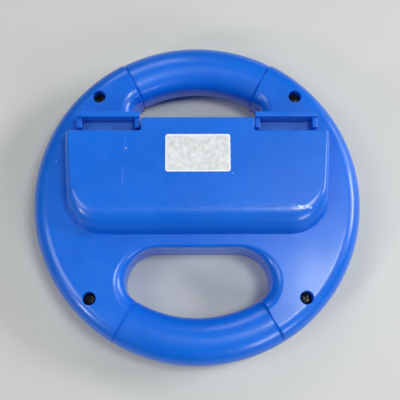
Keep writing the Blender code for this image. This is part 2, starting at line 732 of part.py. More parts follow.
def price_label():
    """A blank paper label with rounded corners on the raised box."""
    half_x, half_y = LABEL_SIZE[0] / 2, LABEL_SIZE[1] / 2
    outline = rounded_bay(half_x, -half_y, half_y, LABEL_CORNER, LABEL_CORNER)
    placed = [(point + Vector(LABEL_CENTRE), width) for point, width in outline]
    low = BOX_Z + SKIN_GAP
    return prism("price_label", placed, low, low + LABEL_THICKNESS, LABEL_PAPER)


def grip_pads():
    """Soft strips on the tray's lower wall that hold the controller up against the triggers."""
    low = BAY_BOTTOM_Y + SKIN_GAP
    for side, word in ((-1, "left"), (1, "right")):
        block(word + "_grip_pad", side, PAD_X, (low, low + PAD_THICKNESS), PAD_Z, SOFT_RUBBER)


def main():
    clear_scene()
    grooves = groove_cutters()
    rear_shell(grooves)
    front_shell(grooves)
    controller_tray()
    for side, word in ((-1, "left"), (1, "right")):
        trigger_cap(side, word)
        trigger_arm(side, word)
        for place in SPRING_X:
            trigger_spring(side, word, place)
    screws()
    price_label()
    grip_pads()


main()
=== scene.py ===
"""The looks of a steering-wheel shell: surfaces, materials, floor, light and camera round its CAD frame."""

from math import atan2, cos, pi, radians, sin, sqrt

import bmesh
import bpy
from mathutils import Matrix, Vector


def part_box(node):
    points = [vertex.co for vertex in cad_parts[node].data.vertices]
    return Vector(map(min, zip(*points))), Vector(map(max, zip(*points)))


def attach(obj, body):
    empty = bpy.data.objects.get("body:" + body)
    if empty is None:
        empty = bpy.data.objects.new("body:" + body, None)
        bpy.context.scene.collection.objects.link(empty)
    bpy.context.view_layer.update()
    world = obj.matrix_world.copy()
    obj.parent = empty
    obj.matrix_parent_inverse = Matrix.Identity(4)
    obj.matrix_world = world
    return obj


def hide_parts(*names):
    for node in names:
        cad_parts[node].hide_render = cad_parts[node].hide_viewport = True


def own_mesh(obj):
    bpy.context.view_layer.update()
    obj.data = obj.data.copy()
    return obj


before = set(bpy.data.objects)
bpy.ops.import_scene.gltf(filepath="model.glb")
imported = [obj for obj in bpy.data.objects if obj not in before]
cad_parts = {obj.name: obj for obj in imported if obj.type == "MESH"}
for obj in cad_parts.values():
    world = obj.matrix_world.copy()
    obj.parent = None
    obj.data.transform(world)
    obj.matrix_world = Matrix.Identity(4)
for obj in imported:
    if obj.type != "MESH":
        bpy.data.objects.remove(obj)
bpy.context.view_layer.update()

MM = 0.001
SIDES = {"left": -1, "right": 1}

# ---- What the frame gives

REAR_LOW, REAR_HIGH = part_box("rear_shell")
_, FRONT_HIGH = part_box("front_shell")
TRAY_LOW, TRAY_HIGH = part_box("controller_tray")
CAP_LOW, CAP_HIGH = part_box("right_trigger_cap")
ARM_LOW, ARM_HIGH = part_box("right_trigger_arm")
WHEEL_RADIUS = REAR_HIGH.x
BOX_Z = REAR_HIGH.z
PARTING_Z = (REAR_LOW.z + FRONT_HIGH.z) / 2

# ---- Dimensions

FACE_Z = 19 * MM
WALL = 2 * MM
SEAM = 0.16 * MM
SEAM_LIP = 0.15 * MM
RIM_INNER_RADIUS = 43.2 * MM

# Where the two handles end, as angles from the Y axis, and how close points lie round the groove there
UPPER_GROOVE = radians(28)
LOWER_GROOVE = radians(30.5)
GROOVE_STEP = radians(0.25)
# Half of a groove's outline, in mm: (height over the surface, half width)
GROOVE_PROFILE = ((-0.38, 0.0), (-0.3, 0.16), (-0.16, 0.25), (0.0, 0.36), (0.2, 0.52), (1.3, 0.9))

# Roundings of an edge, as (width, height)
NODE_OUTER = (6 * MM, 6 * MM)
NODE_INNER = (5 * MM, 5 * MM)
NODE_FRONT = (6.5 * MM, 6.5 * MM)
HANDLE_REAR = (8.4 * MM, 6.7 * MM)
HANDLE_FRONT = (8.4 * MM, 9 * MM)
HOLE_END = (4.3 * MM, 4.3 * MM)
LOWER_TOP = (1.3 * MM, 1.3 * MM)
CRISP = (0.3 * MM, 0.3 * MM)
DEEPEST = 9.2 * MM

# A cutter stops rounding at this turn, just under the face, then widens by this share of what is left
LAST_TURN = radians(84)
SHALLOW = 1.27

UPPER_HOLE_HALF_WIDTH = 24.3 * MM
UPPER_HOLE_FLOOR_Y = 27.3 * MM
UPPER_HOLE_CORNER = 5 * MM
LOWER_HOLE_HALF_WIDTH = 26.2 * MM
LOWER_HOLE_TOP_Y = -18.5 * MM
LOWER_HOLE_TOP_CORNER = 12 * MM

# Raised box
BOX_HALF_WIDTH = 48.3 * MM
BOX_LOW_HALF_WIDTH = 47.5 * MM
BOX_BOTTOM_Y = -13.8 * MM
BOX_CORNER = 14 * MM
BOX_TOP_Y = 27.33 * MM
NOTCH_Y = 22.4 * MM
NOTCH_X = 20.4 * MM
BOX_HEIGHT = BOX_Z - FACE_Z
BOX_EDGE = (0.4 * MM, 0.4 * MM)
BOX_BOTTOM_SLOPE = (8.1 * MM, BOX_HEIGHT)
BOX_LOW_SLOPE = (3.4 * MM, BOX_HEIGHT)
BOX_SIDE_SLOPES = {4 * MM: 2.95 * MM, 10 * MM: 2.7 * MM, 17 * MM: 2.6 * MM, NOTCH_Y: 2.6 * MM}
BOX_WIDEST_Y = 17 * MM
BOX_FOOT = (0.3 * MM, 0.3 * MM)
NOTCH_OUTER_CORNER = 0.9 * MM
NOTCH_INNER_CORNER = 0.6 * MM

# Controller tray
BAY_HALF_LENGTH = 51.1 * MM
BAY_TOP_Y = 22.5 * MM
BAY_BOTTOM_Y = -14.2 * MM
BAY_TOP_CORNER = 1.7 * MM
BAY_BOTTOM_CORNER = 15 * MM
TRAY_WALL = 1 * MM
TRAY_MOUTH_Z = TRAY_LOW.z
TRAY_FLOOR_Z = 14.2 * MM
TRAY_BACK_Z = 15.4 * MM
SKIRT = 1.6 * MM
SKIRT_END_Z = 9 * MM
FLANGE = 1.3 * MM
FLANGE_Z = (9.3 * MM, 10.5 * MM)
WELL_HALF_LENGTH = 41.8 * MM
WELL_TOP_Y = 18.4 * MM
WELL_BOTTOM_Y = -5.3 * MM
WELL_CORNER = 7 * MM
WELL_TOP_CORNER = 1.5 * MM
WELL_FLOOR_Z = 23.9 * MM
WELL_WALL = TRAY_HIGH.z - WELL_FLOOR_Z
GAP = 0.3 * MM
PAD_RIDGES = 9
PAD_RIDGE_HEIGHT = 0.22 * MM

# Triggers
CAP_X = (CAP_LOW.x, CAP_HIGH.x)
CAP_Y = (CAP_LOW.y, CAP_HIGH.y)
CAP_PAD_Y = 27.7 * MM
CAP_Z = (FACE_Z + 0.4 * MM, CAP_HIGH.z)
CAP_FLOOR_Z = FACE_Z + 1.6 * MM
CAP_RIB_Z = 24.9 * MM
CAP_RIB = 1.9 * MM
STEM_X = (27.5 * MM, 40.8 * MM)
STEM_Y = (25.3 * MM, 28 * MM)
SLOT_X = (27 * MM, 41.3 * MM)
SLOT_Y = (23.3 * MM, 28.3 * MM)
ARM_PLATE_Z = (15 * MM, ARM_HIGH.z)
ARM_PLATE_Y = (STEM_Y[0], ARM_HIGH.y)
INNER_LEG_X = (27 * MM, 33.5 * MM)
OUTER_LEG_X = (38.9 * MM, ARM_HIGH.x)
OUTER_LEG_Z = 10.8 * MM
NOSE_X = (28 * MM, 32 * MM)
NOSE_Z = (ARM_LOW.z, 8.7 * MM)
LEG_ROOM = 0.5 * MM
NOSE_ROOM = 0.6 * MM

SPRING_X = {"inner": 30.2 * MM, "outer": 41.05 * MM}
SPRING_Z = 12.9 * MM
SPRING_Y = (23.7 * MM, 26.75 * MM)
SPRING_RADIUS = 1.1 * MM
SPRING_WIRE = 0.34 * MM
SPRING_TURNS = 4
SPRING_CLOSED_ENDS = 0.55
SPRING_POCKET_RADIUS = 1.55 * MM
SPRING_POCKET_Y = 27 * MM

CASE_SCREWS = {
    "upper_left": (-36.6 * MM, 38.5 * MM),
    "upper_right": (36.6 * MM, 38.5 * MM),
    "lower_left": (-38.3 * MM, -36.7 * MM),
    "lower_right": (38.3 * MM, -36.7 * MM),
}
REAR_BOSS_RADIUS = 3.8 * MM
FRONT_BOSS_RADIUS = 3.3 * MM
COUNTERBORE_RADIUS = 2.3 * MM
HEAD_SEAT_Z = 14 * MM
CLEARANCE_HOLE_RADIUS = 1.5 * MM
PILOT_RADIUS = 1.4 * MM
PILOT_END_Z = 4 * MM
TRIGGER_SCREW = (36.6 * MM, 26.65 * MM)
# Head radius, head height, shank radius and length under the head
CASE_SCREW_SIZES = (2.1 * MM, 1.7 * MM, 1.1 * MM, 9 * MM)
TRIGGER_SCREW_SIZES = (1.4 * MM, 1 * MM, 0.6 * MM, 3.8 * MM)

LABEL_CORNER = 0.85 * MM
LABEL_STEP = 0.35 * MM
LABEL_LIFT = 0.015 * MM
LABEL_THICKNESS = 0.12 * MM
LABEL_WANDER = 0.02 * MM
LABEL_NICK = 0.16 * MM

SHARP_EDGE = radians(32)
NEARLY_STRAIGHT = 0.05


# ---- Mesh helpers


def new_object(name, data):
    obj = bpy.data.objects.new(name, data)
    bpy.context.scene.collection.objects.link(obj)
    return obj


def loft(name, rings, joined_ends=False, bevels=None):
    """One closed body through rings of equal length, capped at both ends or joined end to end.

    bevels maps a place in the rings to the radius that rounds the edge running through it.
    """
    bm = bmesh.new()
    loops = [[bm.verts.new(point) for point in ring] for ring in rings]
    pairs = list(zip(loops, loops[1:]))
    if joined_ends:
        pairs.append((loops[-1], loops[0]))
    for low, high in pairs:
        count = len(low)
        for i in range(count):
            j = (i + 1) % count
            bm.faces.new((low[i], low[j], high[j], high[i]))
    if not joined_ends:
        bm.faces.new(list(reversed(loops[0])))
        bm.faces.new(loops[-1])
    for place, radius in (bevels or {}).items():
        edges = [bm.edges.get((a[place], b[place])) for a, b in pairs]
        bmesh.ops.bevel(bm, geom=edges, offset=radius, segments=4, profile=0.5, affect="EDGES")
    bmesh.ops.recalc_face_normals(bm, faces=bm.faces)
    mesh = bpy.data.meshes.new(name)
    bm.to_mesh(mesh)
    bm.free()
    return new_object(name, mesh)


def apply_modifiers(obj):
    bpy.context.view_layer.update()
    graph = bpy.context.evaluated_depsgraph_get()
    mesh = bpy.data.meshes.new_from_object(obj.evaluated_get(graph))
    obj.modifiers.clear()
    obj.data = mesh


def boolean(target, tools, operation):
    """Joins target with the tools, cuts it by them or keeps what it shares with them."""
    for tool in tools:
        modifier = target.modifiers.new(tool.name, "BOOLEAN")
        modifier.operation = operation
        modifier.object = tool
        modifier.solver = "EXACT"
    apply_modifiers(target)
    for tool in tools:
        bpy.data.objects.remove(tool)
    return target


def cut(target, *tools):
    return boolean(target, tools, "DIFFERENCE")


def join(target, *tools):
    return boolean(target, tools, "UNION")


def smooth(obj):
    """Shades obj smooth: edges past SHARP_EDGE stay sharp, and flat faces stay flat."""
    obj.data.shade_smooth()
    obj.data.set_sharp_from_angle(angle=SHARP_EDGE)
    weighted = obj.modifiers.new("Flat faces", "WEIGHTED_NORMAL")
    weighted.keep_sharp = True
    apply_modifiers(obj)
    return obj


def ring_at(points, z):
    return [Vector((p.x, p.y, z)) for p in points]


def circle_points(radius, steps, centre=(0.0, 0.0)):
    turns = [2 * pi * i / steps for i in range(steps)]
    return [Vector((centre[0] + radius * cos(a), centre[1] + radius * sin(a))) for a in turns]


def turned(name, centre, profile, steps=48):
    """A body turned about the upright line through centre. profile runs upwards through (radius, z)."""
    return loft(name, [ring_at(circle_points(radius, steps, centre), z) for radius, z in profile])


def moved_in(points, amounts):
    """The points after each edge has moved to its left, which is inwards, by its own amount."""
    normals = []
    for i, point in enumerate(points):
        along = (points[(i + 1) % len(points)] - point).normalized()
        normals.append(Vector((-along.y, along.x)))
    moved = []
    for i, point in enumerate(points):
        before, after = normals[i - 1], normals[i]
        turn = before.cross(after)
        if abs(turn) < NEARLY_STRAIGHT:
            moved.append(point + (before + after).normalized() * (amounts[i - 1] + amounts[i]) / 2)
            continue
        x = (amounts[i - 1] * after.y - amounts[i] * before.y) / turn
        y = (amounts[i] * before.x - amounts[i - 1] * after.x) / turn
        moved.append(point + Vector((x, y)))
    return moved


def curl(below, rounding):
    """How far a rounded edge has turned in, this far below the face that it meets."""
    width, height = rounding
    if below >= height:
        return 0.0
    share = 1 - below / height
    return width * (1 - sqrt(1 - share * share))


# ---- Small solids


def widened(limits, room):
    return (limits[0] - room, limits[1] + room)


def plan_box(side, x_range, y_range, corners=0.0, steps=5):
    """A rectangle's outline with rounded corners. corners is one radius, or four: low inner, low
    outer, high outer and high inner. side mirrors it to the left (-1) or the right (+1)."""
    if not isinstance(corners, tuple):
        corners = (corners,) * 4
    places = [(x_range[0], y_range[0]), (x_range[1], y_range[0])]
    places += [(x_range[1], y_range[1]), (x_range[0], y_range[1])]
    inwards = [(1, 1), (-1, 1), (-1, -1), (1, -1)]
    points = []
    for i in range(4):
        radius = corners[i]
        centre = Vector(places[i]) + Vector(inwards[i]) * radius
        for k in range(steps + 1 if radius else 1):
            angle = pi + pi / 2 * (i + k / steps)
            points.append(centre + Vector((cos(angle), sin(angle))) * radius)
    points = [Vector((side * p.x, p.y)) for p in points]
    return points[::side]


def rounded_prism(name, points, z_range, low=0.0, high=0.0):
    """An upright prism with its low and high edges rounded."""
    steps = 4
    rings = []
    for end, radius, up in ((z_range[0], low, -1), (z_range[1], high, 1)):
        turns = [i / steps for i in range(steps + 1)] if radius else [0]
        for share in turns[::up]:
            angle = pi / 2 * share
            inset = radius * (1 - cos(angle))
            z = end - up * radius * (1 - sin(angle))
            rings.append(ring_at(moved_in(points, [inset] * len(points)), z))
    return loft(name, rings)


def block(name, side, x_range, y_range, z_range, corner=0.0, edge=0.0):
    """A box between limits, its upright edges rounded by corner and its level ones by edge."""
    points = plan_box(side, x_range, y_range, corner)
    return rounded_prism(name, points, z_range, edge, edge)


# ---- Outlines of the shells
# An outline is a counter-clockwise list of (point, rounding). The rounding belongs to the edge
# that starts at the point.


def between(a, b, share):
    return tuple(x + (y - x) * share for x, y in zip(a, b))


def eased(share):
    return share * share * (3 - 2 * share)


def arc(centre, radius, start, end, steps, start_rounding, end_rounding):
    """Points from angle start up to, not including, angle end."""
    made = []
    for i in range(steps):
        share = i / steps
        angle = start + (end - start) * share
        point = Vector((centre[0] + radius * cos(angle), centre[1] + radius * sin(angle)))
        made.append((point, between(start_rounding, end_rounding, eased(share))))
    return made


def groove_angles():
    """Where the grooves cross the rim, counted from +X, in pairs that bound the handles."""
    up, down = pi / 2, 3 * pi / 2
    return [up - UPPER_GROOVE, up + UPPER_GROOVE, down - LOWER_GROOVE, down + LOWER_GROOVE]


def in_handle(angle):
    first, second, third, fourth = groove_angles()
    return first < angle < second or third < angle < fourth


def rim_angles(start, end, steps):
    """Angles from start up to end, with close ones round each groove that lies between."""
    angles = [start + (end - start) * i / steps for i in range(steps)]
    for groove in groove_angles():
        if start < groove < end:
            # A point this near a close one would leave a sliver between them.
            angles = [a for a in angles if abs(a - groove) > 1.5 * GROOVE_STEP]
            angles += [groove + GROOVE_STEP * share for share in (-1, -0.4, 0.4, 1)]
    return sorted(angles)


def rim_arc(radius, start, end, steps, node, handle):
    """The stretch of a hole's outline that follows the rim, rounded by the node and the handle."""
    made = []
    for angle in rim_angles(start, end, steps):
        rounding = handle if in_handle(angle) else node
        made.append((Vector((radius * cos(angle), radius * sin(angle))), rounding))
    return made


def upper_hole(handle, floor=CRISP):
    half, corner, low_y = UPPER_HOLE_HALF_WIDTH, UPPER_HOLE_CORNER, UPPER_HOLE_FLOOR_Y
    centre_x = half - corner
    centre_y = sqrt((RIM_INNER_RADIUS - corner) ** 2 - centre_x**2)
    turn = atan2(centre_y, centre_x)
    rise, rise_steps = 3 * MM, 6
    side = []
    for i in range(1, rise_steps):
        share = i / rise_steps
        side.append((low_y + rise * share, between(floor, HOLE_END, eased(share))))
    outline = [(Vector((-half, low_y)), floor), (Vector((half, low_y)), floor)]
    outline += [(Vector((half, y)), rounding) for y, rounding in side]
    outline += arc((centre_x, centre_y), corner, 0, turn, 12, HOLE_END, NODE_INNER)
    outline += rim_arc(RIM_INNER_RADIUS, turn, pi - turn, 56, NODE_INNER, handle)
    outline += arc((-centre_x, centre_y), corner, pi - turn, pi, 12, NODE_INNER, HOLE_END)
    outline.append((Vector((-half, centre_y)), HOLE_END))
    outline += [(Vector((-half, y)), rounding) for y, rounding in reversed(side)]
    return outline


def lower_hole(handle):
    half, top_corner = LOWER_HOLE_HALF_WIDTH, LOWER_HOLE_TOP_CORNER
    side_y = LOWER_HOLE_TOP_Y - top_corner
    low_corner = (RIM_INNER_RADIUS**2 - half**2 - side_y**2) / (2 * (RIM_INNER_RADIUS - half))
    low_x = half - low_corner
    turn = atan2(-side_y, low_x)
    high_x = half - top_corner
    outline = arc((high_x, side_y), top_corner, 0, pi / 2, 24, HOLE_END, LOWER_TOP)
    outline.append((Vector((high_x, LOWER_HOLE_TOP_Y)), LOWER_TOP))
    outline += arc((-high_x, side_y), top_corner, pi / 2, pi, 24, LOWER_TOP, HOLE_END)
    outline += arc((-low_x, side_y), low_corner, pi, pi + turn, 14, HOLE_END, NODE_INNER)
    outline += rim_arc(RIM_INNER_RADIUS, pi + turn, 2 * pi - turn, 56, NODE_INNER, handle)
    outline += arc((low_x, side_y), low_corner, 2 * pi - turn, 2 * pi, 14, NODE_INNER, HOLE_END)
    return outline


def hand_holes(handle, upper_floor=CRISP):
    return {"upper": upper_hole(handle, upper_floor), "lower": lower_hole(handle)}


def box_outline():
    """The raised box's foot, with its two trigger notches."""
    centre = (BOX_LOW_HALF_WIDTH - BOX_CORNER, BOX_BOTTOM_Y + BOX_CORNER)
    steps = 20
    right = []
    for i in range(steps):
        angle = pi / 2 * (i / steps - 1)
        x = centre[0] + BOX_CORNER * cos(angle)
        y = centre[1] + BOX_CORNER * sin(angle)
        right.append((Vector((x, y)), between(BOX_LOW_SLOPE, BOX_BOTTOM_SLOPE, -sin(angle))))
    right.append((Vector((BOX_LOW_HALF_WIDTH, centre[1])), BOX_LOW_SLOPE))
    for y, width in BOX_SIDE_SLOPES.items():
        share = min(1, (y - centre[1]) / (BOX_WIDEST_Y - centre[1]))
        x = BOX_LOW_HALF_WIDTH + (BOX_HALF_WIDTH - BOX_LOW_HALF_WIDTH) * share
        right.append((Vector((x, y)), (width, BOX_HEIGHT)))
    left_points = [Vector((-p.x, p.y)) for p, _ in reversed(right)]
    # An edge has the rounding of its first point, which is its other end once it is mirrored.
    left_roundings = [rounding for _, rounding in reversed(right)][1:] + [BOX_BOTTOM_SLOPE]
    right[-1] = (right[-1][0], BOX_EDGE)
    notches = [(NOTCH_X, NOTCH_Y), (NOTCH_X, BOX_TOP_Y), (-NOTCH_X, BOX_TOP_Y), (-NOTCH_X, NOTCH_Y)]
    notches = [(Vector(place), BOX_EDGE) for place in notches]
    return right + notches + list(zip(left_points, left_roundings))


def rounded_bay(half, bottom_y, top_y, bottom_corner, top_corner):
    """A level-topped pocket's outline, with one radius on its low corners and one on its high ones."""
    corners = (bottom_corner, bottom_corner, top_corner, top_corner)
    return plan_box(1, (-half, half), (bottom_y, top_y), corners, steps=12)


def bay_outline(grow=0.0):
    return rounded_bay(BAY_HALF_LENGTH + grow, BAY_BOTTOM_Y - grow, BAY_TOP_Y + grow,
                       BAY_BOTTOM_CORNER + grow, BAY_TOP_CORNER + grow)


def well_outline(grow=0.0):
    return rounded_bay(WELL_HALF_LENGTH + grow, WELL_BOTTOM_Y - grow, WELL_TOP_Y + grow,
                       WELL_CORNER + grow, WELL_TOP_CORNER + grow)


# ---- Shells


def hole_cutter(name, outline, seam_z, face_z, grow=0.0):
    """A cutter for a hand hole in one shell. It rounds the hole's edge where it meets face_z, and
    leaves a small lip at the seam. grow moves its walls outwards, for the room inside the shell."""
    up = 1 if face_z > seam_z else -1
    steps = 16
    points = [point for point, _ in outline]
    least = 0.4 * MM if grow else 0.0
    roundings = reduced_roundings(outline, grow, least)
    count = len(points)
    waist = moved_in(points, [-grow - SEAM_LIP] * count)
    rings = [ring_at(waist, seam_z - up * 3 * MM), ring_at(waist, seam_z)]
    rings.append(ring_at(moved_in(points, [-grow] * count), seam_z + up * SEAM_LIP))
    for i in range(steps + 1):
        below = DEEPEST * (1 - sin(LAST_TURN * i / steps))
        z = face_z - up * below
        if (z - seam_z) * up <= SEAM_LIP:
            continue
        amounts = [-grow - curl(below, rounding) for rounding in roundings]
        rings.append(ring_at(moved_in(points, amounts), z))
    last_below = DEEPEST * (1 - sin(LAST_TURN))
    beyond = []
    for rounding in roundings:
        turned_in = curl(last_below, rounding)
        beyond.append(-grow - turned_in - SHALLOW * (rounding[0] - turned_in))
    outside = moved_in(points, beyond)
    rings.append(ring_at(outside, face_z + up * 0.06 * MM))
    rings.append(ring_at(outside, face_z + up * 3 * MM))
    return loft(name, rings)


def reduced_roundings(outline, grow, least):
    return [(max(w - grow, least), max(h - grow, least)) for _, (w, h) in outline]


def wheel_disc(name, radius, flat_z, face_z, node, handle, steps=300):
    """One solid half of the wheel: flat at flat_z, rounded by its nodes and handles at face_z."""
    up = 1 if face_z > flat_z else -1
    edge_steps = 14
    angles = rim_angles(0, 2 * pi, steps)
    roundings = [handle if in_handle(a) else node for a in angles]
    rings = [ring_at(circle_of(angles, radius - SEAM_LIP), flat_z)]
    rings.append(ring_at(circle_of(angles, radius), flat_z + up * SEAM_LIP))
    for i in range(edge_steps + 1):
        turn = pi / 2 * i / edge_steps
        ring = []
        for angle, (width, height) in zip(angles, roundings):
            across = radius - width + width * cos(turn)
            z = face_z - up * height * (1 - sin(turn))
            ring.append(Vector((across * cos(angle), across * sin(angle), z)))
        rings.append(ring)
    return loft(name, rings)


def circle_of(angles, radius):
    return [Vector((radius * cos(angle), radius * sin(angle))) for angle in angles]


def rim_section(grow):
    """The handle's cross-section as (distance from the axis, z), grown outwards by grow."""
    width, rear = HANDLE_REAR
    _, front = HANDLE_FRONT
    middle = WHEEL_RADIUS - width
    # Each corner as (z of its centre, its height, the angle in degrees where it starts)
    corners = [(front, front, -90), (FACE_Z - rear, rear, 0)]
    corners += [(FACE_Z - rear, rear, 90), (front, front, 180)]
    section = []
    steps = 10
    for centre_z, height, start in corners:
        for i in range(steps):
            angle = radians(start + 90 * i / steps)
            across = middle + (width + grow) * cos(angle)
            section.append((across, centre_z + (height + grow) * sin(angle)))
    return section


def groove_cutter(name, angle):
    """A ring round the rim that cuts a groove with rounded lips."""
    outward = Vector((cos(angle), sin(angle), 0))
    sideways = Vector((-sin(angle), cos(angle), 0))
    shape = [(height, -half) for height, half in reversed(GROOVE_PROFILE[1:])] + list(GROOVE_PROFILE)
    rings = []
    for height, half in shape:
        section = rim_section(height * MM)
        rings.append([outward * r + Vector((0, 0, z)) + sideways * half * MM for r, z in section])
    return loft(name, rings, joined_ends=True)


def groove_cutters():
    return [groove_cutter(f"groove_{i}", angle) for i, angle in enumerate(groove_angles())]


def raised_box(name, grow, foot_z, top_z):
    """The raised box, from foot_z up: upright walls, a small foot, then sides that curl over.

    grow draws its walls inwards, for the room inside it.
    """
    outline = box_outline()
    points = [point for point, _ in outline]
    least = BOX_EDGE[0]
    roundings = reduced_roundings(outline, grow, least)
    steps = 26
    heights = [top_z - BOX_HEIGHT * (1 - sin(pi / 2 * i / steps)) for i in range(1, steps + 1)]
    foot_low = FACE_Z - 0.02 * MM
    if not grow:
        heights += [foot_low + BOX_FOOT[1] * (1 - cos(radians(turn))) for turn in (0, 30, 60, 90)]
    rings = []
    for z in sorted(heights):
        foot = 0.0 if grow else curl(z - foot_low, BOX_FOOT)
        amounts = []
        for rounding in roundings:
            slopes = rounding[1] > least
            amounts.append(grow + curl(top_z - z, rounding) - (foot if slopes else 0))
        rings.append(ring_at(moved_in(points, amounts), z))
    first = [Vector((p.x, p.y, foot_z)) for p in rings[0]]
    bevels = {}
    if not grow:
        first_notch = points.index(Vector((NOTCH_X, NOTCH_Y)))
        radii = (NOTCH_INNER_CORNER, NOTCH_OUTER_CORNER, NOTCH_OUTER_CORNER, NOTCH_INNER_CORNER)
        bevels = {first_notch + i: radius for i, radius in enumerate(radii)}
    return loft(name, [first] + rings, bevels=bevels)


def thinned(rounding):
    return (rounding[0] - WALL, rounding[1] - WALL)


def cover_room(name, open_z, inside_z, node, handle):
    """The room inside a cover, round its hand holes, from inside_z to past the parting line."""
    up = 1 if inside_z > open_z else -1
    roundings = (thinned(node), thinned(handle))
    room = wheel_disc(name, WHEEL_RADIUS - WALL, open_z, inside_z, *roundings, steps=120)
    for word, outline in hand_holes(handle).items():
        cut(room, hole_cutter(f"{word}_pillar", outline, open_z - up * MM, inside_z, grow=WALL))
    return room


def rear_room():
    inside = FACE_Z - WALL
    room = cover_room("rear_room", PARTING_Z - 2 * MM, inside, NODE_OUTER, HANDLE_REAR)
    return join(room, raised_box("box_room", WALL, inside - MM, BOX_Z - WALL))


def counterbore(name, centre, low):
    """A cutter for a case screw's hole, from under the cover at low to past its face."""
    radius = COUNTERBORE_RADIUS
    profile = [
        (CLEARANCE_HOLE_RADIUS, low - 2 * MM),
        (CLEARANCE_HOLE_RADIUS, HEAD_SEAT_Z),
        (radius - 0.05 * MM, HEAD_SEAT_Z),
        (radius, FACE_Z - 0.4 * MM),
        (radius + 0.07 * MM, FACE_Z - 0.15 * MM),
        (radius + 0.25 * MM, FACE_Z + 0.01 * MM),
        (radius + 0.6 * MM, FACE_Z + 2 * MM),
    ]
    return turned(name, centre, profile)


def rear_cover():
    low = PARTING_Z + SEAM / 2
    cover = wheel_disc("rear_cover", WHEEL_RADIUS, low, FACE_Z, NODE_OUTER, HANDLE_REAR)
    for name, outline in hand_holes(HANDLE_REAR).items():
        cut(cover, hole_cutter(f"{name}_hole", outline, low, FACE_Z))
    join(cover, raised_box("raised_box", 0.0, PARTING_Z + 0.4 * MM, BOX_Z))
    cut(cover, rear_room())
    for place, centre in CASE_SCREWS.items():
        boss = [(REAR_BOSS_RADIUS, low + GAP), (REAR_BOSS_RADIUS, FACE_Z - MM)]
        join(cover, turned(f"boss_{place}", centre, boss))
        cut(cover, counterbore(f"counterbore_{place}", centre, low))
    for word, side in SIDES.items():
        z_range = (FACE_Z - WALL - MM, FACE_Z + 0.2 * MM)
        cut(cover, block(f"{word}_slot", side, SLOT_X, SLOT_Y, z_range, 0.3 * MM))
    return cut(cover, *groove_cutters())


def bay_opening(high):
    """A cutter for the opening that the tray sits in, with a rounded edge at the front face."""
    opening = bay_outline(TRAY_WALL + GAP)
    mouth = 0.6 * MM
    rings = [ring_at(opening, high + 3 * MM)]
    for share in (0, 0.25, 0.5, 0.75, 1):
        turn = pi / 2 * share
        grown = mouth * (1 - cos(turn))
        z = mouth * (1 - sin(turn)) - 0.01 * MM
        rings.append(ring_at(moved_in(opening, [-grown] * len(opening)), z))
    rings.append([p - Vector((0, 0, MM)) for p in rings[-1]])
    return loft("bay_opening", rings)


def front_cover():
    high = PARTING_Z - SEAM / 2
    cover = wheel_disc("front_cover", WHEEL_RADIUS, high, 0, NODE_FRONT, HANDLE_FRONT)
    floor = (1.2 * MM, 1.2 * MM)
    for name, outline in hand_holes(HANDLE_FRONT, floor).items():
        cut(cover, hole_cutter(f"{name}_hole", outline, high, 0))
    cut(cover, cover_room("front_room", PARTING_Z + 2 * MM, WALL, NODE_FRONT, HANDLE_FRONT))
    inset = WALL / 2
    skirt = rounded_prism("skirt", bay_outline(TRAY_WALL + GAP + SKIRT), (0, SKIRT_END_Z))
    edges = [(width - inset, height - inset) for width, height in (NODE_FRONT, HANDLE_FRONT)]
    guide = wheel_disc("guide", WHEEL_RADIUS - inset, high, inset, *edges, steps=120)
    join(cover, boolean(skirt, [guide], "INTERSECT"))
    cut(cover, bay_opening(high))
    for place, centre in CASE_SCREWS.items():
        boss = [(FRONT_BOSS_RADIUS, inset), (FRONT_BOSS_RADIUS, high - GAP)]
        join(cover, turned(f"boss_{place}", centre, boss))
        pilot = [(PILOT_RADIUS, PILOT_END_Z), (PILOT_RADIUS, high + MM)]
        cut(cover, turned(f"pilot_{place}", centre, pilot))
    for word, side in SIDES.items():
        x_range = widened(INNER_LEG_X, LEG_ROOM)
        y_range = (BAY_TOP_Y, STEM_Y[1] + LEG_ROOM)
        z_range = (NOSE_Z[0] - MM, high + MM)
        cut(cover, block(f"{word}_leg_gap", side, x_range, y_range, z_range, 0.3 * MM))
    return cut(cover, *groove_cutters())


# ---- Tray and pads


def controller_tray():
    """The pocket for the controller, with a deeper well for its rear buttons."""
    lip = 0.4 * MM
    tray = rounded_prism("tray", bay_outline(TRAY_WALL), (TRAY_MOUTH_Z, TRAY_BACK_Z), lip, 0.8 * MM)
    flange = rounded_prism("flange", bay_outline(TRAY_WALL + FLANGE), FLANGE_Z, 0.2 * MM, 0.2 * MM)
    well_z = (TRAY_FLOOR_Z, TRAY_HIGH.z)
    join(tray, flange, rounded_prism("well", well_outline(WELL_WALL), well_z, 0, 1.2 * MM))
    mouth_z = (TRAY_MOUTH_Z - MM, TRAY_MOUTH_Z + lip)
    cut(tray, rounded_prism("pocket", bay_outline(), (mouth_z[0], TRAY_FLOOR_Z), 0, 0.6 * MM))
    cut(tray, rounded_prism("well_room", well_outline(), (mouth_z[1], WELL_FLOOR_Z), 0, 0.9 * MM))
    for word, side in SIDES.items():
        slot_x = widened(NOSE_X, NOSE_ROOM)
        slot_y = (BAY_TOP_Y - MM, BAY_TOP_Y + 3 * MM)
        slot_z = widened(NOSE_Z, NOSE_ROOM)
        cut(tray, block(f"{word}_nose_slot", side, slot_x, slot_y, slot_z))
        notch_x = widened(INNER_LEG_X, LEG_ROOM)
        notch_y = (BAY_TOP_Y + TRAY_WALL + 0.01 * MM, BAY_TOP_Y + 4 * MM)
        cut(tray, block(f"{word}_flange_notch", side, notch_x, notch_y, widened(FLANGE_Z, MM)))
    return tray


